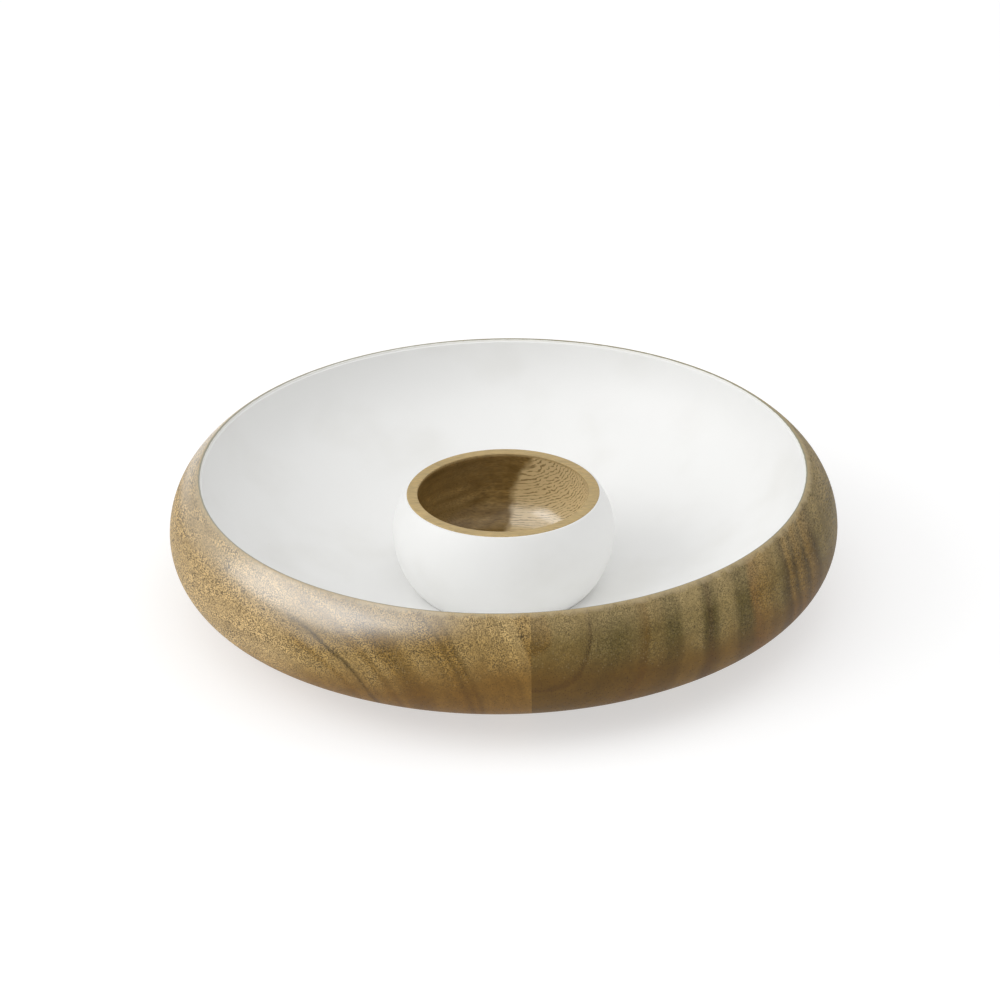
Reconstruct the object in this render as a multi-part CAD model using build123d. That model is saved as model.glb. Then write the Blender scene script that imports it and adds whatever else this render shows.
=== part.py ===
from build123d import *
from math import asin, atan, cos, degrees, radians, sin
import os

# Chip and dip server: a wide turned wooden tray with an enamelled hollow, and a
# small turned bowl for the dip that stands loose on the middle of its floor.
# The tray's blank is two boards glued edge to edge. Both turned pieces are bare
# wood where they are held and enamelled where they meet the food or the hollow.
# Units are millimetres. The axis of both pieces is Z, and the table is z = 0.

# Tray, outside
tray_radius = 178.0         # at the widest point of the bulge
tray_height = 75.0          # table to the crest of the lip
bulge_height = 43.2         # table to the widest point
lip_inset = 16.2            # widest point in to the crest of the lip
lip_rounding = 1.2          # radius of the rounded lip
belly_radius = 29.8         # arc below the widest point
foot_inset = 66.0           # widest point in to the edge of the foot
foot_rise = 5.0             # degrees at which the underside leaves the table
foot_ring_width = 20.0      # width of the ring that the tray stands on
foot_hollow_depth = 1.2     # the base inside the ring is turned hollow
foot_hollow_slope = 4.0     # width of the slope between ring and hollow

# Tray, hollow
floor_thickness = 8.0       # wood under the flat of the floor
floor_margin = 5.0          # flat floor around the dip bowl's foot
wall_radius = 52.0          # arc of the wall below the lip
wall_lean = 8.0             # degrees off vertical of the wall at the lip
board_seam = 13.0           # glue joint, to the right of the axis

# Enamel on both pieces
enamel_thickness = 0.5
enamel_edge = 0.5           # the coat tapers to its edge over this height

# Dip bowl, outside
bowl_radius = 58.6          # at the widest point of the wood
bowl_height = 53.7
bowl_bulge_height = 31.0    # foot to the widest point
bowl_rim_inset = 7.6        # widest point in to the rim's outer edge
bowl_foot_inset = 11.4      # widest point in to the foot's edge
bowl_foot_rounding = 1.5    # rounded edge of the foot
bowl_rim_rounding = 0.5     # softened edges of the rim
bowl_coat_drop = 0.5        # rim down to the edge of the coat

# Dip bowl, hollow
bowl_rim_width = 5.55
bowl_wall = 9.5             # wood at the widest point of the hollow
bowl_bottom = 8.0           # wood under the flat of the hollow
bowl_corner_radius = 20.0   # arc between the hollow's side and its bottom
bowl_flat_radius = 8.0      # flat in the middle of the hollow


def bulge_arc(depth, rise, rounding=0.0):
    """Radius of an arc that leaves a vertical tangent and touches a rounding.

    The rounding's centre lies depth in and rise up from the tangent point.
    """
    return (depth**2 + rise**2 - rounding**2) / (2 * (depth - rounding))


def bulge_turn(depth, rise, rounding=0.0):
    """Degrees that the same arc turns before it meets the rounding."""
    arc = bulge_arc(depth, rise, rounding)
    return degrees(asin(rise / (arc - rounding)))


def two_arcs(width, drop, first_radius, first_heading, last_heading):
    """Turn and radii of two tangent arcs that cross a width and a drop.

    Headings are degrees below level. The first arc leaves at first_heading, and
    the second, whose radius is the one worked out, ends at last_heading.
    """
    first = radians(first_heading)
    last = radians(last_heading)
    spare_width = width - first_radius * (sin(first) - sin(last))
    spare_drop = drop - first_radius * (cos(last) - cos(first))
    meet = 2 * atan(spare_drop / spare_width) - last
    second_radius = first_radius + spare_width / (sin(meet) - sin(last))
    return degrees(meet), second_radius


def heading(angle):
    """Direction that points towards the axis, angle degrees below level."""
    return (-cos(radians(angle)), -sin(radians(angle)))


def inward(start, lean, inset):
    """Point inset in from a surface whose tangent stands lean off vertical."""
    return (start[0] - inset * cos(radians(lean)), start[1] + inset * sin(radians(lean)))


def hollow_arcs(start, lean, side_radius, flat_radius, flat_height, inset=0.0):
    """Side arc, bottom arc and flat of a turned hollow, from its top inwards.

    They start at a point on the bare wood. With an inset they are the face of a
    coat of that thickness on the same wood.
    """
    steep = 90 - lean
    width = start[0] - flat_radius
    meet, bottom_radius = two_arcs(width, start[1] - flat_height, side_radius, steep, 0)
    top = inward(start, lean, inset)
    side = JernArc(top, heading(steep), side_radius - inset, meet - steep)
    bottom = JernArc(side @ 1, side % 1, bottom_radius - inset, -meet)
    flat = Line(bottom @ 1, (0, (bottom @ 1).Y))
    return side, bottom, flat


def turned(section):
    """Solid of revolution of a half section, about the axis of the lathe."""
    return revolve(section, Axis.Z, 360)


# The tray's lip: the shoulder's arc comes up from the widest point and runs into
# the rounding, which turns over the crest and down to the wall of the hollow.
tray_lip_rise = tray_height - lip_rounding - bulge_height
shoulder_radius = bulge_arc(lip_inset, tray_lip_rise, lip_rounding)
shoulder_turn = bulge_turn(lip_inset, tray_lip_rise, lip_rounding)
lip_turn = 180 - wall_lean - shoulder_turn
foot_radius = tray_radius - foot_inset
bowl_foot_radius = bowl_radius - bowl_foot_inset
floor_radius = bowl_foot_radius + floor_margin
floor_height = floor_thickness + enamel_thickness

belly_meet, underside_radius = two_arcs(
    foot_inset, bulge_height, belly_radius, 90, foot_rise
)

with BuildSketch(Plane.XZ) as tray_section:
    with BuildLine():
        widest = (tray_radius, bulge_height)
        shoulder = JernArc(widest, (0, 1), shoulder_radius, shoulder_turn)
        lip = JernArc(shoulder @ 1, shoulder % 1, lip_rounding, lip_turn)
        wall_top = ((lip @ 1).X, (lip @ 1).Y)
        side, bottom, flat = hollow_arcs(
            wall_top, wall_lean, wall_radius, floor_radius, floor_thickness
        )
        belly = JernArc(widest, (0, -1), belly_radius, belly_meet - 90)
        underside = JernArc(
            belly @ 1, belly % 1, underside_radius, foot_rise - belly_meet
        )
        ring_inside = foot_radius - foot_ring_width
        Polyline(
            underside @ 1,
            (ring_inside, 0),
            (ring_inside - foot_hollow_slope, foot_hollow_depth),
            (0, foot_hollow_depth),
            flat @ 1,
        )
    make_face()
tray_blank = turned(tray_section.sketch)

# The two boards of the blank: each is what lies on its own side of the seam.
beyond = 2 * tray_radius
right_side = Pos(board_seam, 0, 0) * Box(
    beyond, 2 * beyond, 2 * beyond, align=(Align.MIN, Align.CENTER, Align.CENTER)
)
tray_board_left = tray_blank - right_side
tray_board_right = tray_blank & right_side

# The tray's coat, on all of the hollow, thinned to an edge under the lip.
with BuildSketch(Plane.XZ) as coat_section:
    with BuildLine():
        side, bottom, flat = hollow_arcs(
            wall_top, wall_lean, wall_radius, floor_radius, floor_thickness
        )
        below_edge = side @ (enamel_edge / side.length)
        face_side, face_bottom, face_flat = hollow_arcs(
            (below_edge.X, below_edge.Y),
            wall_lean + degrees(enamel_edge / wall_radius),
            wall_radius,
            floor_radius,
            floor_thickness,
            enamel_thickness,
        )
        Line(side @ 0, face_side @ 0)
        Line(flat @ 1, face_flat @ 1)
    make_face()
tray_enamel = turned(coat_section.sketch)

# The dip bowl is drawn standing on the tray's floor.
rim_height = floor_height + bowl_height
bowl_widest = (bowl_radius, floor_height + bowl_bulge_height)
bowl_rim_rise = bowl_height - bowl_bulge_height
bowl_upper_radius = bulge_arc(bowl_rim_inset, bowl_rim_rise)
bowl_upper_turn = bulge_turn(bowl_rim_inset, bowl_rim_rise)
bowl_foot_drop = bowl_bulge_height - bowl_foot_rounding
bowl_foot_depth = bowl_foot_inset + bowl_foot_rounding
bowl_lower_radius = bulge_arc(bowl_foot_depth, bowl_foot_drop, bowl_foot_rounding)
bowl_lower_turn = bulge_turn(bowl_foot_depth, bowl_foot_drop, bowl_foot_rounding)
bowl_hollow_radius = bowl_radius - bowl_wall
bowl_rim_radius = bowl_radius - bowl_rim_inset
bowl_mouth_radius = bowl_rim_radius - bowl_rim_width
bowl_mouth_depth = bowl_hollow_radius - bowl_mouth_radius
mouth_arc_radius = bulge_arc(bowl_mouth_depth, bowl_rim_rise)
mouth_arc_turn = bulge_turn(bowl_mouth_depth, bowl_rim_rise)

with BuildSketch(Plane.XZ) as bowl_section:
    with BuildLine():
        upper = JernArc(bowl_widest, (0, 1), bowl_upper_radius, bowl_upper_turn)
        lower = JernArc(bowl_widest, (0, -1), bowl_lower_radius, -bowl_lower_turn)
        foot_edge = JernArc(
            lower @ 1, lower % 1, bowl_foot_rounding, bowl_lower_turn - 90
        )
        hollow_widest = (bowl_hollow_radius, floor_height + bowl_bulge_height)
        mouth = JernArc(hollow_widest, (0, 1), mouth_arc_radius, mouth_arc_turn)
        cup_side, cup_bottom, cup_flat = hollow_arcs(
            hollow_widest,
            0,
            bowl_corner_radius,
            bowl_flat_radius,
            floor_height + bowl_bottom,
        )
        Line(upper @ 1, mouth @ 1)
        Polyline(foot_edge @ 1, (0, floor_height), cup_flat @ 1)
    make_face()
    rim_corners = bowl_section.vertices().group_by(Axis.Y)[-1]
    fillet(rim_corners, bowl_rim_rounding)
dip_bowl_wood = turned(bowl_section.sketch)

# The bowl's coat, on the outside from just under the rim to the foot's edge.
coat_top_turn = degrees(asin((bowl_rim_rise - bowl_coat_drop) / bowl_upper_radius))
coat_face_turn = degrees(
    asin((bowl_rim_rise - bowl_coat_drop - enamel_edge) / bowl_upper_radius)
)
coated_radius = bowl_radius + enamel_thickness
coated_widest = (coated_radius, bowl_widest[1])
with BuildSketch(Plane.XZ) as bowl_coat_section:
    with BuildLine():
        wood_up = JernArc(bowl_widest, (0, 1), bowl_upper_radius, coat_top_turn)
        wood_down = JernArc(bowl_widest, (0, -1), bowl_lower_radius, -bowl_lower_turn)
        face_up = JernArc(
            coated_widest, (0, 1), bowl_upper_radius + enamel_thickness, coat_face_turn
        )
        face_down = JernArc(
            coated_widest, (0, -1), bowl_lower_radius + enamel_thickness, -bowl_lower_turn
        )
        Line(wood_up @ 1, face_up @ 1)
        Line(wood_down @ 1, face_down @ 1)
    make_face()
dip_bowl_enamel = turned(bowl_coat_section.sketch)

nodes = {
    "tray_board_left": tray_board_left,
    "tray_board_right": tray_board_right,
    "tray_enamel": tray_enamel,
    "dip_bowl_wood": dip_bowl_wood,
    "dip_bowl_enamel": dip_bowl_enamel,
}
os.makedirs("parts", exist_ok=True)
for name, solid in nodes.items():
    export_step(solid, f"parts/{name}.step")

print("shoulder radius", round(shoulder_radius, 2), "underside", round(underside_radius, 2))
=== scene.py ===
# %% [markdown]
# # A chip and dip server
# The real thing is two pieces of turned wood. The wide tray holds the chips, and
# a small bowl for the dip stands loose in the middle of it. The tray's hollow and
# the outside of the bowl are coated in white enamel, and the rest is bare wood.
# The construction is finished already and comes in as a fixed frame. What is
# made here is what the eye gets: smooth turned surfaces, grain, gloss and light.

# %% Load the frame
from math import acos, asin, atan, ceil, cos, degrees, pi, radians, sin, tan

import bmesh
import bpy
from mathutils import Matrix, Vector


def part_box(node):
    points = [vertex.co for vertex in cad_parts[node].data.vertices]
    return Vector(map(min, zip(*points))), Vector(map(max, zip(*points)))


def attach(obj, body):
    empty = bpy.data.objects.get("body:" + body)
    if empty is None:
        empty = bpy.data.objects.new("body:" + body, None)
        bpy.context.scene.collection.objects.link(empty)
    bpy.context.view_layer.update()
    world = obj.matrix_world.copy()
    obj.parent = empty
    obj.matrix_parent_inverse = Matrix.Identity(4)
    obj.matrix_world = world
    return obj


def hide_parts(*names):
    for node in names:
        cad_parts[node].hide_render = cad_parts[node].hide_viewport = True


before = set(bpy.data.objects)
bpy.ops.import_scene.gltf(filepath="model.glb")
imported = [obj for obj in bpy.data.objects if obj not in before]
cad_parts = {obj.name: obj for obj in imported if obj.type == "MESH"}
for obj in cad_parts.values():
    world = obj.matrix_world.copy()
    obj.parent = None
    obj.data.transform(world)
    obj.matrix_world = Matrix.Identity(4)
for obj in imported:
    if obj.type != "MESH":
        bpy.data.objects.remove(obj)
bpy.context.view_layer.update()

MM = 0.001

# %% [markdown]
# ## The camera
# A product like this is looked at from standing height with a long lens, which
# keeps the round rims close to true ellipses. The camera stands well back, looks
# down at about 28 degrees, and leans a little, as one held by hand does.

# %% Camera
camera_distance = 3.56
camera_elevation = radians(27.892)
camera_roll = radians(0.892)
focal_length, sensor_width = 238.82, 36.0
nearest_seen, farthest_seen = 0.1, 50
aim = Vector((-0.0017, 0, 0.0574))

camera_data = bpy.data.cameras.new("camera")
camera_data.lens, camera_data.sensor_width = focal_length, sensor_width
camera_data.clip_start, camera_data.clip_end = nearest_seen, farthest_seen
camera = bpy.data.objects.new("camera", camera_data)
bpy.context.scene.collection.objects.link(camera)
bpy.context.scene.camera = camera
camera.location = camera_distance * Vector(
    (0, -cos(camera_elevation), sin(camera_elevation))
)
sight = (aim - camera.location).to_track_quat("-Z", "Y").to_matrix()
camera.rotation_euler = (sight @ Matrix.Rotation(-camera_roll, 3, "Z")).to_euler()
print("camera at", [round(v, 3) for v in camera.location], "lens", focal_length, "mm")

# %% [markdown]
# ## Outlines for the lathe
# Everything here is turned, so each piece is one outline swung round an axis. A
# turner's outline is arcs that run smoothly into each other. The small class
# below draws one as the gouge moves: it has a place and a heading, and goes round
# an arc of a given radius. An arc gets only as many points as keep its chords
# within a hundredth of a millimetre of it.

# %% A pen that draws outlines
CHORD_ERROR = 0.01 * MM
CORNER_STEPS = 6


class Outline:
    """Points of radius and height, with the heading in degrees at the last one."""

    def __init__(self, radius, height, heading):
        self.points, self.heading = [Vector((radius, height))], heading

    def arc(self, bend, turn):
        """Goes round an arc of radius bend, turn degrees to the left."""
        largest = 2 * degrees(acos(1 - CHORD_ERROR / bend))
        steps = max(2, ceil(abs(turn) / largest))
        side = 90 if turn > 0 else -90
        spoke = radians(self.heading + side)
        centre = self.points[-1] + bend * Vector((cos(spoke), sin(spoke)))
        for step in range(1, steps + 1):
            spoke = radians(self.heading + turn * step / steps - side)
            self.points.append(centre + bend * Vector((cos(spoke), sin(spoke))))
        self.heading += turn
        return self

    def to(self, radius, height):
        """Goes straight to a point."""
        self.points.append(Vector((radius, height)))
        return self

    def then(self, other):
        """Carries on along another outline from its second point."""
        self.points += other.points[1:]
        return self


def reverse(outline):
    """The same outline drawn the other way."""
    outline.points.reverse()
    return outline


def soften(points, corner, bend):
    """Rounds the corner of an outline that lies nearest to a point."""
    at = min(range(1, len(points) - 1), key=lambda i: (points[i] - corner).length)
    before = (points[at - 1] - points[at]).normalized()
    after = (points[at + 1] - points[at]).normalized()
    half = before.angle(after) / 2
    centre = points[at] + (before + after).normalized() * bend / sin(half)
    start = points[at] + before * bend / tan(half) - centre
    end = points[at] + after * bend / tan(half) - centre
    rounded = [
        centre + start.lerp(end, step / CORNER_STEPS).normalized() * bend
        for step in range(CORNER_STEPS + 1)
    ]
    return points[:at] + rounded + points[at + 1 :]


quarter = Outline(0.1, 0, 90).arc(0.1, 90)
print("a quarter turn of 100 mm radius takes", len(quarter.points), "points")

# %% [markdown]
# ## Sizes
# The overall sizes are read from the frame, so that this model follows the
# construction. The curves between them are a few lengths of their own.

# %% Sizes read from the frame and the curves between them
left_low, left_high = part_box("tray_board_left")
wood_low, wood_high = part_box("dip_bowl_wood")
coat_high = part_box("dip_bowl_enamel")[1]

tray_radius = round(-left_low.x, 4)
tray_height = round(left_high.z, 4)
seam = round(left_high.x, 4)
bowl_radius = round(wood_high.x, 4)
floor_height = round(wood_low.z, 4)
bowl_height = round(wood_high.z - wood_low.z, 4)
coat = round(coat_high.x - wood_high.x, 4)

bulge_height = 43.2 * MM
lip_inset, lip_rounding = 16.2 * MM, 1.2 * MM
belly_radius, foot_inset, foot_rise = 29.8 * MM, 66.0 * MM, 5.0
foot_ring, foot_hollow, foot_slope = 20.0 * MM, 1.2 * MM, 4.0 * MM
wall_radius, wall_lean, floor_margin = 52.0 * MM, 8.0, 5.0 * MM
coat_edge = 0.5 * MM

bowl_bulge_height = 31.0 * MM
bowl_rim_inset, bowl_foot_inset, bowl_foot_rounding = 7.6 * MM, 11.4 * MM, 1.5 * MM
bowl_rim_rounding, bowl_coat_drop = 0.5 * MM, 0.5 * MM
bowl_rim_width, bowl_wall, bowl_bottom = 5.55 * MM, 9.5 * MM, 8.0 * MM
bowl_corner_radius, bowl_flat_radius = 20.0 * MM, 8.0 * MM
print("tray", tray_radius, tray_height, "seam", seam, "bowl", bowl_radius, bowl_height)

# %% [markdown]
# Two little sums shape all the curves. The first finds the arc that leaves a
# widest point straight up and meets a rounding. The second finds a pair of arcs
# that flow into each other across a given width and drop.

# %% The sums behind the arcs


def bulge_arc(depth, rise, rounding=0.0):
    """Radius of an arc from a vertical tangent, and degrees it turns."""
    radius = (depth**2 + rise**2 - rounding**2) / (2 * (depth - rounding))
    return radius, degrees(asin(rise / (radius - rounding)))


def two_arcs(width, drop, first_radius, first_heading, last_heading):
    """Heading where two tangent arcs meet, and the second one's radius."""
    first, last = radians(first_heading), radians(last_heading)
    spare_width = width - first_radius * (sin(first) - sin(last))
    spare_drop = drop - first_radius * (cos(last) - cos(first))
    meet = 2 * atan(spare_drop / spare_width) - last
    return degrees(meet), first_radius + spare_width / (sin(meet) - sin(last))


def hollow(start, lean, side_radius, flat_radius, flat_height, inset=0.0):
    """Outline of a turned hollow from its top to the middle of its floor.

    An inset gives the face of a coat of that thickness on the same wood.
    """
    meet, bottom_radius = two_arcs(
        start.x - flat_radius, start.y - flat_height, side_radius, 90 - lean, 0
    )
    across = Vector((-cos(radians(lean)), sin(radians(lean)))) * inset
    cut = Outline(start.x + across.x, start.y + across.y, 270 - lean)
    cut.arc(side_radius - inset, meet - (90 - lean))
    cut.arc(bottom_radius - inset, -meet)
    return cut.to(0, cut.points[-1].y)


bowl_foot_radius = bowl_radius - bowl_foot_inset
tray_hollow = dict(
    side_radius=wall_radius,
    flat_radius=bowl_foot_radius + floor_margin,
    flat_height=floor_height - coat,
)
shoulder, shoulder_turn = bulge_arc(
    lip_inset, tray_height - lip_rounding - bulge_height, lip_rounding
)
print("shoulder radius", round(shoulder / MM, 2), "mm")

# %% [markdown]
# ## The tray's outlines
# The blank's outline starts at the widest point. It goes up round the shoulder,
# over the small rounding of the lip and down the hollow to the axis. The rest of
# it goes down the belly, under to the foot ring, and in to the axis again.

# %% Outline of the tray's wood
tray_top = Outline(tray_radius, bulge_height, 90)
tray_top.arc(shoulder, shoulder_turn)
tray_top.arc(lip_rounding, 180 - wall_lean - shoulder_turn)
wall_top = tray_top.points[-1].copy()
tray_top.then(hollow(wall_top, wall_lean, **tray_hollow))

foot_radius = tray_radius - foot_inset
belly_meet, underside_radius = two_arcs(
    foot_inset, bulge_height, belly_radius, 90, foot_rise
)
tray_under = Outline(tray_radius, bulge_height, 270)
tray_under.arc(belly_radius, belly_meet - 90)
tray_under.arc(underside_radius, foot_rise - belly_meet)
tray_under.to(foot_radius - foot_ring, 0)
tray_under.to(foot_radius - foot_ring - foot_slope, foot_hollow)
tray_under.to(0, foot_hollow)
tray_wood_outline = reverse(tray_under).then(tray_top).points
print("tray outline", len(tray_wood_outline), "points")

# %% [markdown]
# The coat is a thin shell on the hollow. Its outline goes down the wood's wall
# and comes back up its own face, which starts a little lower, so that the coat
# thins to an edge under the lip as sprayed enamel does.

# %% Outline of the tray's coat
coat_wood_side = hollow(wall_top, wall_lean, **tray_hollow)
edge_turn = degrees(coat_edge / wall_radius)
edge_start = Outline(wall_top.x, wall_top.y, 270 - wall_lean)
edge_start.arc(wall_radius, -edge_turn)
coat_face = hollow(
    edge_start.points[-1], wall_lean + edge_turn, inset=coat, **tray_hollow
)
tray_coat_outline = coat_wood_side.points + coat_face.points[::-1]
tray_coat_outline.append(coat_wood_side.points[0])
print("coat outline", len(tray_coat_outline), "points")

# %% [markdown]
# ## The dip bowl's outlines
# The bowl bulges in the same way, with a flat bare rim and a hollow of its own.
# The rim's two corners are softened, because a turner never leaves them sharp.

# %% Outline of the bowl's wood
rim_rise = bowl_height - bowl_bulge_height
widest_height = floor_height + bowl_bulge_height
upper_radius, upper_turn = bulge_arc(bowl_rim_inset, rim_rise)
lower_radius, lower_turn = bulge_arc(
    bowl_foot_inset + bowl_foot_rounding,
    bowl_bulge_height - bowl_foot_rounding,
    bowl_foot_rounding,
)
cup_radius = bowl_radius - bowl_wall
mouth_radius = bowl_radius - bowl_rim_inset - bowl_rim_width
mouth_bend, mouth_turn = bulge_arc(cup_radius - mouth_radius, rim_rise)

bowl_under = Outline(bowl_radius, widest_height, 270)
bowl_under.arc(lower_radius, -lower_turn)
bowl_under.arc(bowl_foot_rounding, lower_turn - 90)
bowl_under.to(0, floor_height)
bowl_outside = reverse(bowl_under).then(
    Outline(bowl_radius, widest_height, 90).arc(upper_radius, upper_turn)
)
cup_top = Outline(cup_radius, widest_height, 90).arc(mouth_bend, mouth_turn)
cup = hollow(
    Vector((cup_radius, widest_height)),
    0,
    side_radius=bowl_corner_radius,
    flat_radius=bowl_flat_radius,
    flat_height=floor_height + bowl_bottom,
)
bowl_wood_outline = bowl_outside.points + reverse(cup_top).points + cup.points[1:]
rim_height = floor_height + bowl_height
for rim_corner in (mouth_radius, bowl_radius - bowl_rim_inset):
    bowl_wood_outline = soften(
        bowl_wood_outline, Vector((rim_corner, rim_height)), bowl_rim_rounding
    )
print("bowl outline", len(bowl_wood_outline), "points")

# %% [markdown]
# The bowl's coat goes on the outside only. It follows the wood's two arcs with
# radii larger by its own thickness, from just under the rim to the foot's edge.
# Its face stops a little lower than its back, so it too thins to an edge.

# %% Outline of the bowl's coat
coat_turn = degrees(asin((rim_rise - bowl_coat_drop) / upper_radius))
face_turn = degrees(asin((rim_rise - bowl_coat_drop - coat_edge) / upper_radius))
wood_up = Outline(bowl_radius, widest_height, 90).arc(upper_radius, coat_turn)
wood_down = Outline(bowl_radius, widest_height, 270).arc(lower_radius, -lower_turn)
face_up = Outline(bowl_radius + coat, widest_height, 90)
face_up.arc(upper_radius + coat, face_turn)
face_down = Outline(bowl_radius + coat, widest_height, 270)
face_down.arc(lower_radius + coat, -lower_turn)
bowl_coat_outline = reverse(wood_down).then(wood_up).points
bowl_coat_outline += reverse(face_up).then(face_down).points
bowl_coat_outline.append(bowl_coat_outline[0])
print("bowl coat outline", len(bowl_coat_outline), "points")

# %% [markdown]
# ## Node trees from Python
# Shaders and Geometry Nodes are both trees of small sums. Linked by hand in
# Python they take pages, so one small class wraps an output socket and lets the
# usual signs stand for Math nodes. With it, 1 - mask is one node, and a formula
# reads as it would on paper. Every other node comes from one method.

# %% A socket that does sums


class Wire:
    """An output socket that Python's signs work on."""

    def __init__(self, tree, socket):
        self.tree, self.socket = tree, socket

    def maths(self, operation, *values):
        kind = "ShaderNodeMath"
        return self.tree.node(kind, {"operation": operation}, dict(enumerate(values)))

    def __add__(self, other):
        return self.maths("ADD", self, other)

    def __sub__(self, other):
        return self.maths("SUBTRACT", self, other)

    def __rsub__(self, other):
        return self.maths("SUBTRACT", other, self)

    def __mul__(self, other):
        return self.maths("MULTIPLY", self, other)

    def __truediv__(self, other):
        return self.maths("DIVIDE", self, other)

    def __mod__(self, other):
        return self.maths("MODULO", self, other)

    def __gt__(self, other):
        return self.maths("GREATER_THAN", self, other)

    def __lt__(self, other):
        return self.maths("LESS_THAN", self, other)

    __radd__, __rmul__ = __add__, __mul__


class Tree:
    """A node tree, shader or geometry, whose nodes all come from one method."""

    def __init__(self, nodes, links):
        self.nodes, self.links = nodes, links

    def node(self, kind, settings=None, sockets=None, output=0):
        """Adds a node, sets it up, fills or links its sockets, gives an output."""
        made = self.nodes.new(kind)
        for name, value in (settings or {}).items():
            if name == "stops":
                ramp = made.color_ramp
                while len(ramp.elements) < len(value):
                    ramp.elements.new(1.0)
                for element, (place, colour) in zip(ramp.elements, value):
                    element.position, element.color = place, (*colour, 1.0)
            else:
                setattr(made, name, value)
        for name, value in (sockets or {}).items():
            if isinstance(value, Wire):
                self.links.new(value.socket, made.inputs[name])
            else:
                made.inputs[name].default_value = value
        if isinstance(output, tuple):
            return [Wire(self, made.outputs[each]) for each in output]
        return Wire(self, made.outputs[output])


print("signs that make nodes: + - * / % < >, and maths() for the rest")

# %% [markdown]
# ## The lathe
# Every piece is the same operation on another outline, so the operation is one
# Geometry Nodes tree. It makes a flat grid with one column for each point of the
# outline and one row for each step of the turn. Then it moves each grid point to
# its outline point, swung round by its row. Points that land on the axis or on
# the first row are merged, which closes the poles and the seam of the turn.

# %% Two steps of the lathe


def outline_point(tree, outline, number):
    """Radius and height of one point of the outline, by its number."""
    sockets = {
        "Geometry": outline,
        "Value": tree.node("GeometryNodeInputPosition"),
        "Index": number,
    }
    place = tree.node("GeometryNodeSampleIndex", {"data_type": "FLOAT_VECTOR"}, sockets)
    return tree.node("ShaderNodeSeparateXYZ", None, {0: place}, output=(0, 2))


def swing(tree, radius, height, angle):
    """A point at this radius and height, swung round the axis by an angle."""
    sockets = {
        "X": radius * angle.maths("COSINE", angle),
        "Y": radius * angle.maths("SINE", angle),
        "Z": height,
    }
    return tree.node("ShaderNodeCombineXYZ", None, sockets)


print("steps of the lathe:", outline_point.__name__, "and", swing.__name__)

# %% [markdown]
# The tree's inputs have names, and each has an identifier too, by which a modifier
# is given its value. Shading is smooth, except across edges sharper than a given
# angle. The tree ends with a plain mesh that carries its finish.

# %% The lathe's tree


def make_lathe():
    """The tree, and the identifiers of its inputs by name."""
    group = bpy.data.node_groups.new("lathe", "GeometryNodeTree")
    asked = (
        ("Outline", "NodeSocketGeometry"),
        ("Steps", "NodeSocketInt"),
        ("Sharp above", "NodeSocketFloat"),
        ("Merge within", "NodeSocketFloat"),
        ("Finish", "NodeSocketMaterial"),
    )
    names = {
        name: group.interface.new_socket(name, in_out="INPUT", socket_type=kind).identifier
        for name, kind in asked
    }
    group.interface.new_socket("Turned", in_out="OUTPUT", socket_type="NodeSocketGeometry")
    tree = Tree(group.nodes, group.links)
    source = group.nodes.new("NodeGroupInput")
    given = {name: Wire(tree, source.outputs[name]) for name, _ in asked}

    count = tree.node("GeometryNodeAttributeDomainSize", None, {0: given["Outline"]})
    sheet = tree.node(
        "GeometryNodeMeshGrid",
        None,
        {"Vertices X": given["Steps"] + 1, "Vertices Y": count},
    )
    index = tree.node("GeometryNodeInputIndex")
    column = index % count
    row = (index - column) / count
    radius, height = outline_point(tree, given["Outline"], column)
    angle = row * (2 * pi) / given["Steps"]
    sockets = {"Geometry": sheet, "Position": swing(tree, radius, height, angle)}
    shape = tree.node("GeometryNodeSetPosition", None, sockets)
    shape = tree.node(
        "GeometryNodeMergeByDistance",
        None,
        {"Geometry": shape, "Distance": given["Merge within"]},
    )
    shape = tree.node("GeometryNodeSetShadeSmooth", None, {"Geometry": shape})
    bend = tree.node("GeometryNodeInputMeshEdgeAngle")
    shape = tree.node(
        "GeometryNodeSetShadeSmooth",
        {"domain": "EDGE"},
        {"Geometry": shape, "Selection": bend > given["Sharp above"], "Shade Smooth": False},
    )
    shape = tree.node("GeometryNodeRealizeInstances", None, {"Geometry": shape})
    shape = tree.node(
        "GeometryNodeSetMaterial", None, {"Geometry": shape, "Material": given["Finish"]}
    )
    out = tree.nodes.new("NodeGroupOutput")
    tree.links.new(shape.socket, out.inputs[0])
    return group, names


lathe, lathe_inputs = make_lathe()
print("lathe inputs", list(lathe_inputs))

# %% [markdown]
# The outline goes in as a string of points. What comes out is made a plain mesh,
# and its faces are turned to look outwards, because which way they face depends
# on which way the outline was drawn.

# %% Turning a piece
SHARP_EDGE = radians(25)
MERGE_WITHIN = 0.001 * MM


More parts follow.
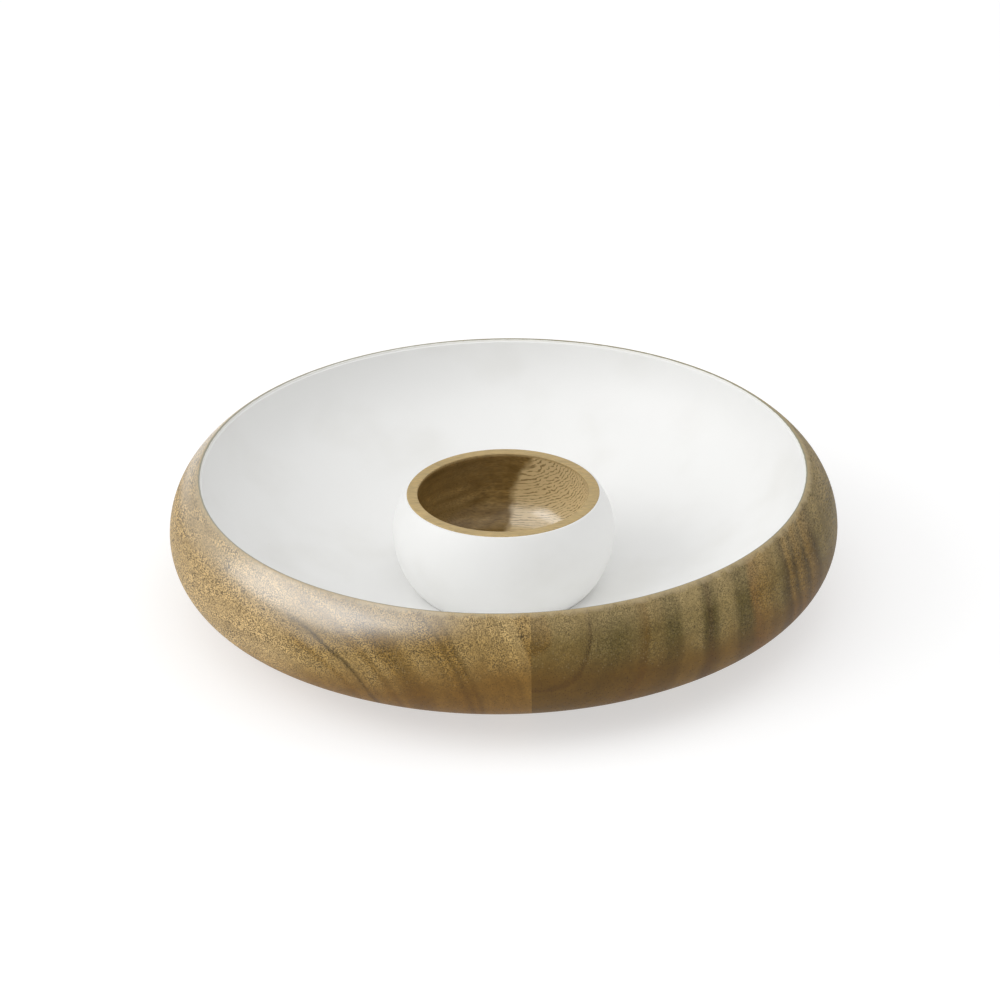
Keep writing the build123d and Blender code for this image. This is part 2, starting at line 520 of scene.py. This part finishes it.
def turn(name, outline, steps, finish):
    """A plain mesh of an outline turned all the way round."""
    string = bpy.data.meshes.new(name)
    string.from_pydata([(p.x, 0, p.y) for p in outline], [], [])
    blank = bpy.data.objects.new(name + "_outline", string)
    bpy.context.scene.collection.objects.link(blank)
    modifier = blank.modifiers.new("lathe", "NODES")
    modifier.node_group = lathe
    modifier[lathe_inputs["Steps"]] = steps
    modifier[lathe_inputs["Sharp above"]] = SHARP_EDGE
    modifier[lathe_inputs["Merge within"]] = MERGE_WITHIN
    modifier[lathe_inputs["Finish"]] = finish
    graph = bpy.context.evaluated_depsgraph_get()
    turned = bpy.data.meshes.new_from_object(blank.evaluated_get(graph))
    bpy.data.objects.remove(blank)
    shape = bmesh.new()
    shape.from_mesh(turned)
    bare = [edge for edge in shape.edges if not edge.link_faces]
    bmesh.ops.delete(shape, geom=bare, context="EDGES")
    bmesh.ops.recalc_face_normals(shape, faces=shape.faces)
    shape.to_mesh(turned)
    shape.free()
    turned.name = name
    print(name, len(turned.vertices), "points", len(turned.polygons), "faces")
    return turned


def piece(name, mesh, body, node):
    """Puts a finished mesh on its body, in place of its construction node."""
    made = bpy.data.objects.new(name, mesh)
    bpy.context.scene.collection.objects.link(made)
    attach(made, body)
    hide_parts(node)


print("edges sharper than", round(degrees(SHARP_EDGE)), "degrees stay sharp")

# %% [markdown]
# ## What the finishes share
# A finish starts from Object coordinates in millimetres, so every size below is
# the size of the real mark. The fibres of a board all run one way, and they are
# many times longer than wide. Noise that is stretched along that direction gives
# dots where the fibres come out at the surface and streaks where they lie in it.
# Such noise fills space, so a piece looks cut from one stick on all its sides.

# %% Materials and their coordinates


def blank_finish(name):
    """A new material, its tree and its shader."""
    material = bpy.data.materials.new(name)
    material.use_nodes = True
    tree = Tree(material.node_tree.nodes, material.node_tree.links)
    return material, tree, tree.nodes["Principled BSDF"]


def feed(tree, shader, values):
    """Fills or links the shader's sockets by name."""
    for name, value in values.items():
        if isinstance(value, Wire):
            tree.links.new(value.socket, shader.inputs[name])
        else:
            shader.inputs[name].default_value = value


def millimetres(tree, turn=(0.0, 0.0, 0.0), shift=(0.0, 0.0, 0.0)):
    """Object coordinates in millimetres, turned by degrees and then shifted."""
    angles = tuple(radians(angle) for angle in turn)
    place = tree.node("ShaderNodeTexCoord", output="Object")
    sockets = {
        "Vector": place, "Location": shift, "Rotation": angles, "Scale": (1 / MM,) * 3
    }
    return tree.node("ShaderNodeMapping", None, sockets)


def split(tree, vector):
    """The three numbers of a vector."""
    return tree.node("ShaderNodeSeparateXYZ", None, {0: vector}, output=(0, 1, 2))


def stretch(tree, vector, scales):
    """A vector times a scale of its own on each axis. A small one draws marks out."""
    settings = {"operation": "MULTIPLY"}
    return tree.node("ShaderNodeVectorMath", settings, {0: vector, 1: scales})


print("finishes are drawn in millimetres,", round(1 / MM), "to a metre")

# %% [markdown]
# A few patterns are enough for all the finishes: soft noise, a border that eases
# from 0 to 1, dots in scattered cells, and a mix of two colours by any of them.
# The Mix node has sockets for numbers, vectors and colours side by side, so those
# for colours are called by their places.

# %% Patterns and mixing
MIX_FACTOR, MIX_UNDER, MIX_OVER, MIX_RESULT = 0, 6, 7, 2


def cloud(tree, vector, size, detail=2.0):
    """Noise of features about size millimetres wide, from -0.5 to 0.5."""
    sockets = {"Vector": vector, "Scale": 1 / size, "Detail": detail}
    return tree.node("ShaderNodeTexNoise", None, sockets) - 0.5


def ease(tree, value, low, high):
    """0 below low and 1 above high, with a soft change between."""
    settings = {"interpolation_type": "SMOOTHSTEP"}
    sockets = {"Value": value, "From Min": low, "From Max": high}
    return tree.node("ShaderNodeMapRange", settings, sockets)


def tint(tree, factor, under, over, blend="MIX"):
    """Mixes colours, given as links or as three numbers."""
    settings = {"data_type": "RGBA", "blend_type": blend}
    under, over = [c if isinstance(c, Wire) else (*c, 1.0) for c in (under, over)]
    sockets = {MIX_FACTOR: factor, MIX_UNDER: under, MIX_OVER: over}
    return tree.node("ShaderNodeMix", settings, sockets, output=MIX_RESULT)


def at_least(floor_share, share):
    """Lifts a share so that it runs from a floor up to 1."""
    return floor_share + share * (1 - floor_share)


def flecks(tree, vector, width, length, share, size):
    """Soft dots, one to a cell of width by length. A share of the cells has one.

    A dot's radius is size times the width of its cell, and half of it is solid.
    """
    cells = stretch(tree, vector, (1 / width, 1 / length, 1 / width))
    distance, colour = tree.node(
        "ShaderNodeTexVoronoi", None, {"Vector": cells, "Scale": 1.0}, output=(0, 1)
    )
    chance = tree.node("ShaderNodeSeparateColor", None, {0: colour})
    return (1 - ease(tree, distance, size * 0.5, size)) * (chance < share)


print("colours are mixed at sockets", MIX_FACTOR, MIX_UNDER, MIX_OVER)

# %% [markdown]
# ## Mango wood
# The tray looks like mango wood. Its growth rings are wide and uneven, the pores
# are short dark dashes, and pale flecks of soft tissue lie round them in bands.
# Spalting leaves olive and grey streaks with thin dark borders. These colours are
# all close to each other, so each has a name here and is used on every stick.

# %% The colours of the wood
STRAW, PALE = (0.84, 0.67, 0.38), (0.60, 0.46, 0.24)
HONEY, GOLD = (0.37, 0.25, 0.092), (0.29, 0.188, 0.062)
TAN, BROWN = (0.22, 0.13, 0.03), (0.155, 0.09, 0.018)
UMBER, OLIVE = (0.08, 0.05, 0.012), (0.115, 0.084, 0.023)
ASH, RUST = (0.175, 0.124, 0.04), (0.22, 0.12, 0.03)
MOSS, BLOND = (0.175, 0.12, 0.036), (0.245, 0.178, 0.066)
FAWN, WHEAT = (0.21, 0.146, 0.046), (0.41, 0.285, 0.128)
DARK, WHITE = (0.045, 0.027, 0.009), (1.0, 1.0, 1.0)
print("the wood runs from", DARK, "in its pores to", STRAW, "in pale sapwood")

# %% [markdown]
# All the unevenness in wood is drawn out along the fibres, which run along the
# stick's own Y. The table says for each kind of it what share of a step along Y
# counts, how wide its features are in millimetres, and how much detail it has.
# The first three kinds bend the rings, and the others are seen by themselves.

# %% Noise along the fibres
FIBRE_NOISE = {
    "broad": (0.12, 60, 2),
    "middle": (0.12, 15, 3),
    "fine": (0.12, 2.2, 3),
    "streak": (0.03, 1.1, 4),
    "grain": (0.06, 5, 3),
    "stipple": (0.2, 0.65, 2),
}


def fibre_noise(tree, wood):
    """Every kind of noise in the table, by name."""
    return {
        name: cloud(tree, stretch(tree, wood, (1, share, 1)), size, detail)
        for name, (share, size, detail) in FIBRE_NOISE.items()
    }


for name, (share, size, _) in FIBRE_NOISE.items():
    print(name, size, "mm wide and", round(size / share), "mm long")

# %% [markdown]
# A growth ring is the set of points at one distance from the heart of the trunk.
# One ramp over that distance therefore colours a whole board, and the rings come
# out as arches, lines or bands by themselves, wherever the lathe cut through them.

# %% Growth rings
RING_WOBBLE, RING_ROUGHNESS = 3, 1.0


def ring_distance(tree, wood, noise, heart, lean, bend):
    """Distance from the heart in millimetres, which noise bends to and fro by bend."""
    wood_x, _, wood_z = split(tree, wood)
    across = wood_x - heart[0]
    up = wood_z - heart[1] + across * lean
    ring = across.maths("SQRT", across * across + up * up)
    ring = ring + noise["broad"] * bend + noise["middle"] * RING_WOBBLE
    return ring + noise["fine"] * RING_ROUGHNESS


def ring_colour(tree, rings, ring):
    """A ramp through pairs of distance from the heart and colour."""
    reach = rings[-1][0]
    stops = [(distance / reach, colour) for distance, colour in rings]
    return tree.node("ShaderNodeValToRGB", {"stops": stops}, {0: ring / reach})


print("rings wander by", RING_WOBBLE, "mm and are rough by", RING_ROUGHNESS, "mm")

# %% [markdown]
# The lower half of the real tray is smoother and browner, and the wood just under
# the lip is painted a little paler, as a painted highlight. So the colour also
# changes with the height above the table, along a border that the same noise
# keeps from being level.

# %% Tone from the foot to the lip
BORDER_WOBBLE, BROWNING = 16, 0.45
# Heights in mm of the painted highlight near the lip, and how far its edge wanders
PAINTED_HIGHLIGHT_BAND, HIGHLIGHT_WOBBLE = (60, 73), 6


def tone_by_height(tree, colour, z, middle, height, low, fade):
    """Browner and darker where height is 0, and painted paler towards the lip as a painted
    highlight.
    """
    colour = tint(tree, (1 - height) * BROWNING, colour, TAN)
    colour = tint(tree, 1.0, colour, tint(tree, height, low, WHITE), "MULTIPLY")
    # Painted highlight: the wood is paler from this height up to the lip
    highlighted = ease(tree, z + middle * HIGHLIGHT_WOBBLE, *PAINTED_HIGHLIGHT_BAND)
    return tint(tree, highlighted * fade, colour, PALE)


print("the wood is bleached from", PAINTED_HIGHLIGHT_BAND[0], "mm above the table up")

# %% [markdown]
# Close up, the wood is a crowd of small marks: streaks of single fibres, pale
# stipple and flecks of soft tissue, and dark pores. They keep to the rings, dense
# in one band and thin in the next, and they die out towards the foot. How crowded
# they are is worked out once and thins or thickens all of them together.

# %% Streaks, flecks and pores
BAND_WIDTH, BAND_DETAIL = 5.5, 4
STREAK_TONE, GRAIN_TONE, BAND_TONE = 0.55, 0.5, 0.55
STIPPLE_EDGE, STIPPLE_RELIEF = 0.14, 0.6
CROWDED, CROWD_WANDER = (-0.22, 0.18), 0.7
THINNEST_BAND, THINNEST_FOOT, FEWEST_PORES = 0.35, 0.2, 0.3
FLECK = dict(width=1.1, length=6, size=0.55)
PORE = dict(width=1.0, length=9, size=0.42)
FLECK_SHARE, FLECK_STRENGTH, PORE_STRENGTH = 0.7, 0.1, 0.45


def grey(tree, value):
    """The same number in all three channels."""
    return tree.node("ShaderNodeCombineColor", None, {0: value, 1: value, 2: value})


def small_marks(tree, colour, wood, noise, ring, height, pale, pores):
    """Adds the marks. Gives the colour, the pores and the relief of the fibres."""
    middle, streak = noise["middle"], noise["streak"]
    band_place = {0: ring, 1: middle * RING_WOBBLE}
    bands = tree.node("ShaderNodeCombineXYZ", None, band_place)
    bands = cloud(tree, bands, BAND_WIDTH, BAND_DETAIL)
    stipple = ease(tree, noise["stipple"], -STIPPLE_EDGE, STIPPLE_EDGE) - 0.5
    crowd = ease(tree, bands + middle * CROWD_WANDER, *CROWDED)
    crowd = at_least(THINNEST_BAND, crowd) * at_least(THINNEST_FOOT, height)

    tone = 1 + streak * STREAK_TONE + noise["grain"] * GRAIN_TONE + bands * BAND_TONE
    tone = tone + stipple * crowd * pale
    colour = tint(tree, 1.0, colour, grey(tree, tone), "MULTIPLY")
    light = flecks(tree, wood, share=crowd * height * FLECK_SHARE, **FLECK)
    dark = flecks(tree, wood, share=at_least(FEWEST_PORES, crowd) * pores, **PORE)
    colour = tint(tree, light * FLECK_STRENGTH, colour, PALE)
    colour = tint(tree, dark * PORE_STRENGTH, colour, DARK)
    return colour, dark, streak + stipple * crowd * STIPPLE_RELIEF


print("flecks have cells of", FLECK["length"], "mm and pores of", PORE["length"], "mm")

# %% [markdown]
# One function puts these together for a stick of wood, and what differs between
# the sticks are its arguments. A second one links the result. Wax lies over the
# wood as a clear coat, and pores and fibres stand in relief under it.

# %% The whole wood finish
CALM_WOBBLE = 20
PORE_DEPTH, FIBRE_RELIEF = 0.12 * MM, 0.4
WOOD_ROUGHNESS, MARK_ROUGHNESS = 0.55, 0.15


def wood_finish(
    tree, rings, heart, turn, shift=(0.0, 0.0, 0.0), lean=0.0, bend=8.0,
    pale=0.5, pores=0.35, low=(0.72, 0.58, 0.3), tops=(38, 62), tip=0.0,
    calm=None, fade=0.16,
):
    """The wood's colour, its axes, its pores and the relief of its fibres.

    The rings are pairs of distance from the heart and colour. Below tops the
    tone falls to low, and tip slants that change across the board. Rings show
    only beyond calm, a range across the board.
    """
    x, y, z = split(tree, millimetres(tree))
    wood = millimetres(tree, turn, shift)
    noise = fibre_noise(tree, wood)
    middle = noise["middle"]
    ring = ring_distance(tree, wood, noise, heart, lean, bend)
    colour = ring_colour(tree, rings, ring)
    if calm:
        ringed = ease(tree, x + middle * CALM_WOBBLE, *calm)
        colour = tint(tree, ringed, WHEAT, colour)
    height = ease(tree, z + middle * BORDER_WOBBLE + (x - heart[0]) * tip, *tops)
    colour = tone_by_height(tree, colour, z, middle, height, low, fade)
    colour, dark, relief = small_marks(
        tree, colour, wood, noise, ring, height, pale, pores
    )
    return colour, (x, y, z), dark, relief


def finish_wood(tree, shader, colour, dark, relief, sheen, gloss=0.3):
    """Links the colour, the relief of pores and fibres, and a wax polish."""
    bumps = {
        "Strength": 0.4, "Distance": PORE_DEPTH, "Height": relief * FIBRE_RELIEF - dark
    }
    values = {
        "Base Color": colour,
        "Roughness": WOOD_ROUGHNESS + dark * MARK_ROUGHNESS + relief * MARK_ROUGHNESS,
        "Specular IOR Level": 0.25,
        "Coat Weight": sheen,
        "Coat Roughness": gloss,
        "Coat IOR": 2.5,
        "Normal": tree.node("ShaderNodeBump", None, bumps),
    }
    feed(tree, shader, values)


print("pores are", PORE_DEPTH / MM, "mm deep, wood roughness", WOOD_ROUGHNESS)

# %% [markdown]
# The lip is where the two materials meet. The enamel was sprayed over its inner
# side, and a thin dark greenish line runs along the crest. Outside that line, the
# rounding is painted paler as a painted highlight, where it catches the light.
# None of this is quite even.
# Each line has a colour, how much of it covers the wood, how far it wanders, and
# where it fades out, in millimetres outwards from the crest. All of them keep to
# the uppermost two or three millimetres.

# %% The lines round the lip
LIP_LINES = {
    # A painted highlight: the rounding outside the crest is painted paler, where it catches
    # the light
    "lit_rounding": ((0.52, 0.41, 0.24), 0.75, 5, (0.2, 3.4)),
    # A thin dark greenish line along the crest
    "crest_line": ((0.30, 0.285, 0.20), 1.0, 0.8, (-0.2, 0.3)),
    "sprayed": ((0.88, 0.87, 0.82), 1.0, 0.5, (-0.85, -0.55)),
}
LIP_NOISE_SIZE, LIP_NOISE_DETAIL = 5, 3
LIP_STARTS = (3, 2)
crest_radius = (tray_radius - lip_inset) / MM
lip_low, lip_high = [tray_height / MM - below for below in LIP_STARTS]


def lip_lines(tree, colour, axes):
    """Paints the painted highlight on the rounding, the dark crest line and the sprayed edge
    round the lip.
    """
    x, y, z = axes
    radius = x.maths("SQRT", x * x + y * y)
    around = tree.node("ShaderNodeCombineXYZ", None, {0: x, 1: y})
    uneven = cloud(tree, around, LIP_NOISE_SIZE, LIP_NOISE_DETAIL)
    beyond = radius - crest_radius
    above = ease(tree, z, lip_low, lip_high)
    for line_colour, cover, wander, fades in LIP_LINES.values():
        line = above * (1 - ease(tree, beyond + uneven * wander, *fades)) * cover
        colour = tint(tree, line, colour, line_colour)
    return colour


print("lines round the lip:", *LIP_LINES, "at radius", round(crest_radius, 1), "mm")

# %% [markdown]
# The two boards are one kind of wood from different trunks. The left one is pale
# and golden, with a few dark curved rings. The right one is spalted, with bands
# of olive and grey and a set of close dark lines. The left one's heart lies low
# down near its far end, and the right one's high up at the joint. Both have their
# fibres tilted a little in the blank, and the tilt turns about the front of it.

# %% The tray's two boards
LEFT_HEART, RIGHT_HEART = (-142, -7), (13, 66)
FIBRE_TILT, TILT_CENTRE = 11.0, 0.93
POLISH_CENTRE, POLISH_SLOPE, POLISH_BAND = -100, 0.2, (46, 60)
LEFT_RINGS = [
    (0, GOLD), (50, HONEY), (69, GOLD), (72, TAN), (74.5, GOLD), (78.2, GOLD),
    (79.6, UMBER), (81.4, GOLD), (88, GOLD), (91, TAN), (95, GOLD), (99, TAN),
    (102, BROWN), (107, TAN), (113, GOLD), (126, TAN), (127.7, BROWN),
    (129.2, TAN), (131, TAN), (132, BROWN), (135, GOLD), (148, GOLD),
    (154, GOLD), (160, HONEY), (163, HONEY), (165.5, TAN), (180, TAN),
]
RIGHT_RINGS = [
    (9, BROWN), (12, FAWN), (28, MOSS), (31, UMBER), (32.5, ASH),
    (46, OLIVE), (54, ASH), (59.5, BROWN), (62, MOSS), (67, MOSS),
    (71, OLIVE), (76, OLIVE), (79, BLOND), (88, BLOND), (91, OLIVE), (93.5, UMBER),
    (96, OLIVE), (99, BLOND), (106, BLOND), (109, OLIVE), (115, OLIVE), (118, RUST),
    (122, TAN), (132, ASH), (136, UMBER), (138, TAN), (141, UMBER), (143, TAN),
    (147, UMBER), (149, TAN), (153, UMBER), (156, ASH),
]


def board_finish(name, *rings_and_heart, polish, matt, **look):
    """A board's finish, with wax on its shoulder that has rubbed off across matt."""
    material, tree, shader = blank_finish(name)
    shift = (0, 0, tray_radius / MM * TILT_CENTRE * sin(radians(FIBRE_TILT)))
    colour, axes, dark, relief = wood_finish(
        tree, *rings_and_heart, (FIBRE_TILT, 0, 0), shift, **look
    )
    x, _, z = axes
    off_centre = x.maths("ABSOLUTE", x - POLISH_CENTRE) * POLISH_SLOPE
    sheen = ease(tree, z - off_centre, *POLISH_BAND)
    sheen = sheen * (1 - ease(tree, x, *matt)) * polish
    finish_wood(tree, shader, lip_lines(tree, colour, axes), dark, relief, sheen)
    return material


board_left_wood = board_finish(
    "mango_light", LEFT_RINGS, LEFT_HEART, pale=1.45, pores=0.5, tip=-0.2,
    tops=(12, 34), fade=0.22, calm=(-128, -98), polish=1.0, matt=(-55, -5),
)
board_right_wood = board_finish(
    "mango_dark", RIGHT_RINGS, RIGHT_HEART, lean=0.17, bend=7.0, pale=0.8, pores=0.7,
    tip=0.08, tops=(42, 66), low=(0.66, 0.52, 0.22), fade=0.24, polish=0.1,
    matt=(150, 180),
)
print("rings out to", LEFT_RINGS[-1][0], "mm left and", RIGHT_RINGS[-1][0], "mm right")

# %% [markdown]
# ## The bowl's wood
# The bowl is cut from another stick, with its fibres running from side to side.
# The rim's shadow is painted over the left half of its hollow, smooth and dark,
# and this painted shadow ends at a border that slants as it goes down. All the
# rest is paler: the rim as pale wood, and the hollow's lit side more, as painted light.

# %% Painted shadow and painted light in the bowl
BOWL_RINGS = [
    (0, GOLD), (10, HONEY), (16, GOLD), (19, TAN), (22, GOLD), (32, HONEY),
    (36, GOLD), (40, HONEY), (55, GOLD), (75, HONEY),
]
BOWL_HEART, BOWL_TURN = (-20, 0), (0, 0, 90)
# Slant and ends of the border of the rim's painted shadow in the hollow
SHADOW_SLANT, SHADOW_ENDS = 0.31, (11, 17)
WANDER, WANDER_SIZE, WANDER_DETAIL, WANDER_TURN = 16, 14, 3, (0, 0, 82)
RIM_ENDS = (2.5, 0.6)
bowl_wood, tree, shader = blank_finish("mango_bowl")
rim = rim_height / MM
colour, (x, y, z), dark, relief = wood_finish(
    tree, BOWL_RINGS, BOWL_HEART, BOWL_TURN, pale=0.6, pores=0.35, tops=(0, 1), fade=0
)
inside = 1 - ease(tree, z, *[rim - below for below in RIM_ENDS])
wander = cloud(tree, millimetres(tree, WANDER_TURN), WANDER_SIZE, WANDER_DETAIL)
border = x - (z - rim) * SHADOW_SLANT + wander * WANDER
# The side in the rim's painted shadow: painted shade, left of the border
shade_side = 1 - ease(tree, border, *SHADOW_ENDS)
# The painted shadow inside the hollow; the rest is the side painted as lit
painted_shadow = inside * shade_side
lit_side = 1 - painted_shadow
print("bowl rings", len(BOWL_RINGS), "heartwood ends at x =", *SHADOW_ENDS, "mm")

# %% [markdown]
# Outside the painted shadow the pores are long, wavy and dark, because the cut
# meets them aslant. The sine of the distance across the fibres gives even lines.
# Slow noise sways them, and quick noise breaks them into dashes and leaves some out.

# %% Wavy dashes outside the painted shadow
VEIN_RATE, VEIN_RISE, VEIN_SKEW = 4.3, 0.7, 0.12
VEIN_SWAY, VEIN_BREAKS, VEIN_EDGES = 22, 1.8, (0.2, 1.1)
VEIN_GAPS, GAP_SWAY, DASHES_ON_RIM = (-0.24, 0.06), 0.6, 0.3
SWAY_SIZE, BREAK_SIZE, DRAWN_OUT = 6, 1.7, (0.3, 1, 1)
along = stretch(tree, millimetres(tree), DRAWN_OUT)
sway = cloud(tree, along, SWAY_SIZE, 3)
breaks = cloud(tree, along, BREAK_SIZE, 2)
phase = (y + z * VEIN_RISE + x * VEIN_SKEW) * VEIN_RATE + sway * VEIN_SWAY
veins = phase.maths("SINE", phase) + breaks * VEIN_BREAKS
kept = ease(tree, breaks + sway * GAP_SWAY, *VEIN_GAPS)
dashes = ease(tree, veins, *VEIN_EDGES) * kept
dashes = dashes * at_least(DASHES_ON_RIM, inside) * lit_side
print("a line of dashes every", round(2 * pi / VEIN_RATE, 2), "mm")

# %% [markdown]
# The colour is mixed last. Outside the painted shadow the wood is paled: the rim
# a little, as its own pale colour, and the hollow more, as painted light. The rim's
# painted shadow is darkened in slanting streaks, and the dashes go on top. The lit
# side inside is polished, and the painted shadow hardly.

# %% The bowl's finish
# The rim's paleness is its own colour; the hollow's extra paleness is painted light
RIM_PALENESS, HOLLOW_PAINTED_LIGHT = 0.34, 0.6
# How dark the painted shadow is, and how much slanting streaks vary it
SHADE_DEPTH, SHADE_STREAKS, DASH_STRENGTH, DASH_DEPTH = 0.5, 1.6, 0.7, 0.4
LIT_SIDE_SHEEN, SHADE_SIDE_DULLING = 0.6, 0.5
STREAK_TURN, STREAK_SHAPE, STREAK_SIZE = (0, 0, 50), (1, 0.06, 1), 4
slanting = stretch(tree, millimetres(tree, STREAK_TURN), STREAK_SHAPE)
shade_depth = SHADE_DEPTH - cloud(tree, slanting, STREAK_SIZE) * SHADE_STREAKS
pale_rim_and_painted_light = RIM_PALENESS + inside * HOLLOW_PAINTED_LIGHT
colour = tint(tree, lit_side * pale_rim_and_painted_light, colour, STRAW)
# Painted shadow of the rim, darker in slanting streaks
colour = tint(tree, painted_shadow * shade_depth, colour, BROWN)
colour = tint(tree, dashes * DASH_STRENGTH, colour, BROWN)
sheen = inside * (LIT_SIDE_SHEEN - shade_side * SHADE_SIDE_DULLING)
finish_wood(tree, shader, colour, dark + dashes * DASH_DEPTH, relief, sheen, gloss=0.2)
print(bowl_wood.name, "has", len(tree.nodes), "nodes")

# %% [markdown]
# ## White enamel
# The coat is a sprayed satin enamel, a little warm. Spray leaves a faint ripple
# like the skin of an orange, and slow changes of thickness that show as a barely
# darker or glossier patch. Both are needed, or the bowl looks like plastic.

# %% The enamel
CLEAN, DULLED = (0.905, 0.905, 0.892), (0.86, 0.857, 0.835)
PATCH_SIZE, DULLING = 45, (-0.05, 0.3)
SPECK_CELL, SPECK_SHARE, SPECK_SIZE, SPECK_STRENGTH = 9, 0.05, 0.05, 0.25
RIPPLE_SIZE, RIPPLE_DEPTH = 2.4, 0.05 * MM
ENAMEL_ROUGHNESS, PATCH_ROUGHNESS, RIPPLE_ROUGHNESS = 0.46, 0.2, 0.05
enamel, tree, shader = blank_finish("enamel")
place = millimetres(tree)
patch = cloud(tree, place, PATCH_SIZE, 3)
ripple = cloud(tree, place, RIPPLE_SIZE, 2)
speck = flecks(tree, place, SPECK_CELL, SPECK_CELL, SPECK_SHARE, SPECK_SIZE)
colour = tint(tree, ease(tree, patch, *DULLING), CLEAN, DULLED)
colour = tint(tree, speck * SPECK_STRENGTH, colour, ASH)
bumps = {"Strength": 0.12, "Distance": RIPPLE_DEPTH, "Height": ripple}
values = {
    "Base Color": colour,
    "Roughness": ENAMEL_ROUGHNESS + patch * PATCH_ROUGHNESS + ripple * RIPPLE_ROUGHNESS,
    "Normal": tree.node("ShaderNodeBump", None, bumps),
}
feed(tree, shader, values)
print("enamel", CLEAN, "roughness", ENAMEL_ROUGHNESS, "ripple", RIPPLE_SIZE, "mm")

# %% [markdown]
# ## On the lathe
# The tray's blank is glued up first and turned as one, so both boards share one
# surface. Here too it is turned once and then cut in two at the joint. Each half
# is closed with a flat face, so that it is a solid board when it is by itself.

# %% Turn the pieces
TRAY_STEPS, BOWL_STEPS = 360, 256
ON_THE_JOINT = 1e-7
tray_blank = turn("tray_blank", tray_wood_outline, TRAY_STEPS, board_left_wood)


def board(name, keep_left, finish):
    """One board of the blank, closed with a flat face where the two are glued."""
    shape = bmesh.new()
    shape.from_mesh(tray_blank)
    everything = shape.verts[:] + shape.edges[:] + shape.faces[:]
    bmesh.ops.bisect_plane(
        shape,
        geom=everything,
        dist=ON_THE_JOINT,
        plane_co=(seam, 0, 0),
        plane_no=(1, 0, 0),
        clear_outer=keep_left,
        clear_inner=not keep_left,
    )
    cut_edges = [edge for edge in shape.edges if edge.is_boundary]
    cap = bmesh.ops.holes_fill(shape, edges=cut_edges, sides=0)["faces"]
    for edge in cut_edges:
        edge.smooth = False
    for face in cap:
        face.smooth = False
    bmesh.ops.recalc_face_normals(shape, faces=shape.faces)
    open_edges = sum(edge.is_boundary for edge in shape.edges)
    mesh = bpy.data.meshes.new(name)
    shape.to_mesh(mesh)
    shape.free()
    mesh.materials.clear()
    mesh.materials.append(finish)
    print(name, len(mesh.polygons), "faces", len(cap), "cap", open_edges, "open edges")
    return mesh


print("steps in a turn:", TRAY_STEPS, "for the tray and", BOWL_STEPS, "for the bowl")

# %% [markdown]
# Each finished mesh then goes to its body and takes the place of its plain node
# in the construction. The bowl and its coat ride together, and lift off the tray.

# %% The five pieces
piece(
    "left_board", board("left_board", True, board_left_wood),
    "tray", "tray_board_left",
)
piece(
    "right_board", board("right_board", False, board_right_wood),
    "tray", "tray_board_right",
)
piece(
    "tray_coat", turn("tray_coat", tray_coat_outline, TRAY_STEPS, enamel),
    "tray", "tray_enamel",
)
piece(
    "bowl", turn("bowl", bowl_wood_outline, BOWL_STEPS, bowl_wood),
    "dip_bowl", "dip_bowl_wood",
)
piece(
    "bowl_coat", turn("bowl_coat", bowl_coat_outline, BOWL_STEPS, enamel),
    "dip_bowl", "dip_bowl_enamel",
)

# %% [markdown]
# ## Floor and light
# The studio is a white sheet and soft boxes. A wide box low on the left gives the
# wood its pale sheen, a large one in front keeps the walls even, and one high on
# the right opens the shadow. The sheet glows a little, as an overlit one does.

# %% The sheet of paper
FLOOR_HALF, FLOOR_GREY, FLOOR_GLOW = 6.0, 0.55, 0.56
corners = [(-FLOOR_HALF, -FLOOR_HALF, 0), (FLOOR_HALF, -FLOOR_HALF, 0)]
corners += [(-x, -y, 0) for x, y, _ in corners]
floor_mesh = bpy.data.meshes.new("floor")
floor_mesh.from_pydata(corners, [], [(0, 1, 2, 3)])
floor = bpy.data.objects.new("floor", floor_mesh)
bpy.context.scene.collection.objects.link(floor)
paper, tree, shader = blank_finish("paper")
values = {
    "Base Color": (FLOOR_GREY, FLOOR_GREY, FLOOR_GREY, 1),
    "Roughness": 0.9,
    "Specular IOR Level": 0.0,
    "Emission Color": (1, 1, 1, 1),
    "Emission Strength": FLOOR_GLOW,
}
feed(tree, shader, values)
floor_mesh.materials.append(paper)
print("floor", 2 * FLOOR_HALF, "m wide, glowing at", FLOOR_GLOW)

# %% [markdown]
# Each box light is placed by its direction from the middle of the tray, and its
# strength is given as radiance, the brightness of its face. A box can then be made
# wider or moved without a new guess at its watts.

# %% The lights
LIGHT_DISTANCE, SURROUND_LIGHT = 2.4, 0.45
SOFTBOXES = {
    "key": dict(around=191, up=33, width=2.4, height=1.4, radiance=2.0),
    "front": dict(around=232, up=62, width=2.4, height=2.4, radiance=0.85),
    "fill": dict(around=15, up=60, width=2.2, height=2.2, radiance=0.8),
}
world = bpy.data.worlds.new("world")
bpy.context.scene.world = world
world.use_nodes = True
surround = world.node_tree.nodes["Background"].inputs
surround["Color"].default_value = (1, 1, 1, 1)
surround["Strength"].default_value = SURROUND_LIGHT


def softbox(name, around, up, width, height, radiance):
    """A box light, in a direction in degrees round from +X and up."""
    data = bpy.data.lights.new(name, "AREA")
    data.shape, data.size, data.size_y = "RECTANGLE", width, height
    data.energy = radiance * pi * width * height
    light = bpy.data.objects.new(name, data)
    bpy.context.scene.collection.objects.link(light)
    flat = cos(radians(up))
    towards = Vector(
        (cos(radians(around)) * flat, sin(radians(around)) * flat, sin(radians(up)))
    )
    light.location = towards * LIGHT_DISTANCE
    light.rotation_euler = (-towards).to_track_quat("-Z", "Y").to_euler()
    print(name, round(data.energy, 1), "W")


for name, box in SOFTBOXES.items():
    softbox(name, **box)
bpy.context.scene.view_settings.view_transform = "Standard"
